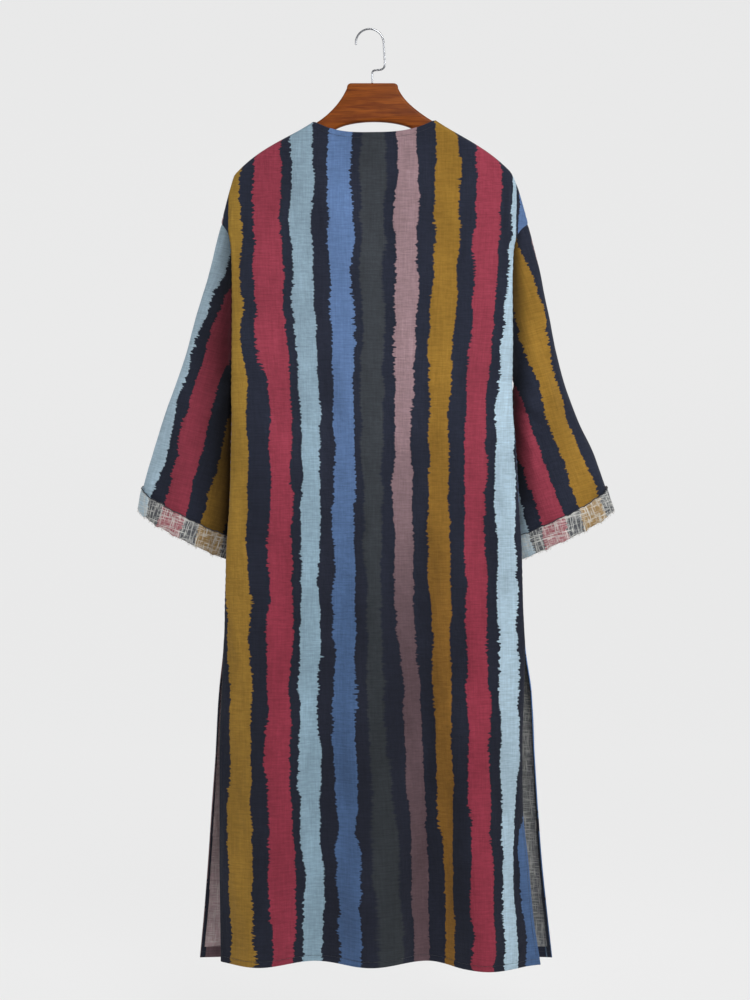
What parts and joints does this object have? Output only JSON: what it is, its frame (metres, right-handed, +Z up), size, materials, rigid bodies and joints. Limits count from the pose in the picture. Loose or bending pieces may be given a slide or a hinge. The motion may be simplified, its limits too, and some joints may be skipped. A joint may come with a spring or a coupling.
{
  "type": "kaftan robe on a hanger",
  "caption": "Ankle-length striped kaftan robe with wide three-quarter sleeves, turned-back cuffs and side slits, on a wooden hanger with a wire hook.",
  "frame": {"origin": "inside top of the hook's arc, where a rail holds it", "axes": "+Z up, -Y out of the robe's back, +X to the right as its back is seen"},
  "size_m": [0.7686, 0.1449, 1.4951],
  "materials": {
    "striped_cloth": "matte cotton and linen weave, navy ground with mustard, crimson, light blue, blue, charcoal and mauve stripes",
    "cuff_cloth": "wrong side of the same cloth, pale and cross-hatched",
    "hanger_wood": "varnished brown hardwood",
    "hook_steel": "bright plated wire"
  },
  "bodies": {
    "root": {"back_panel": "striped_cloth", "front_panel": "striped_cloth", "sleeve_left": "striped_cloth", "sleeve_right": "striped_cloth", "cuff_left": "cuff_cloth", "cuff_right": "cuff_cloth", "hanger_body": "hanger_wood", "hanger_hook": "hook_steel"}
  },
  "joints": []
}
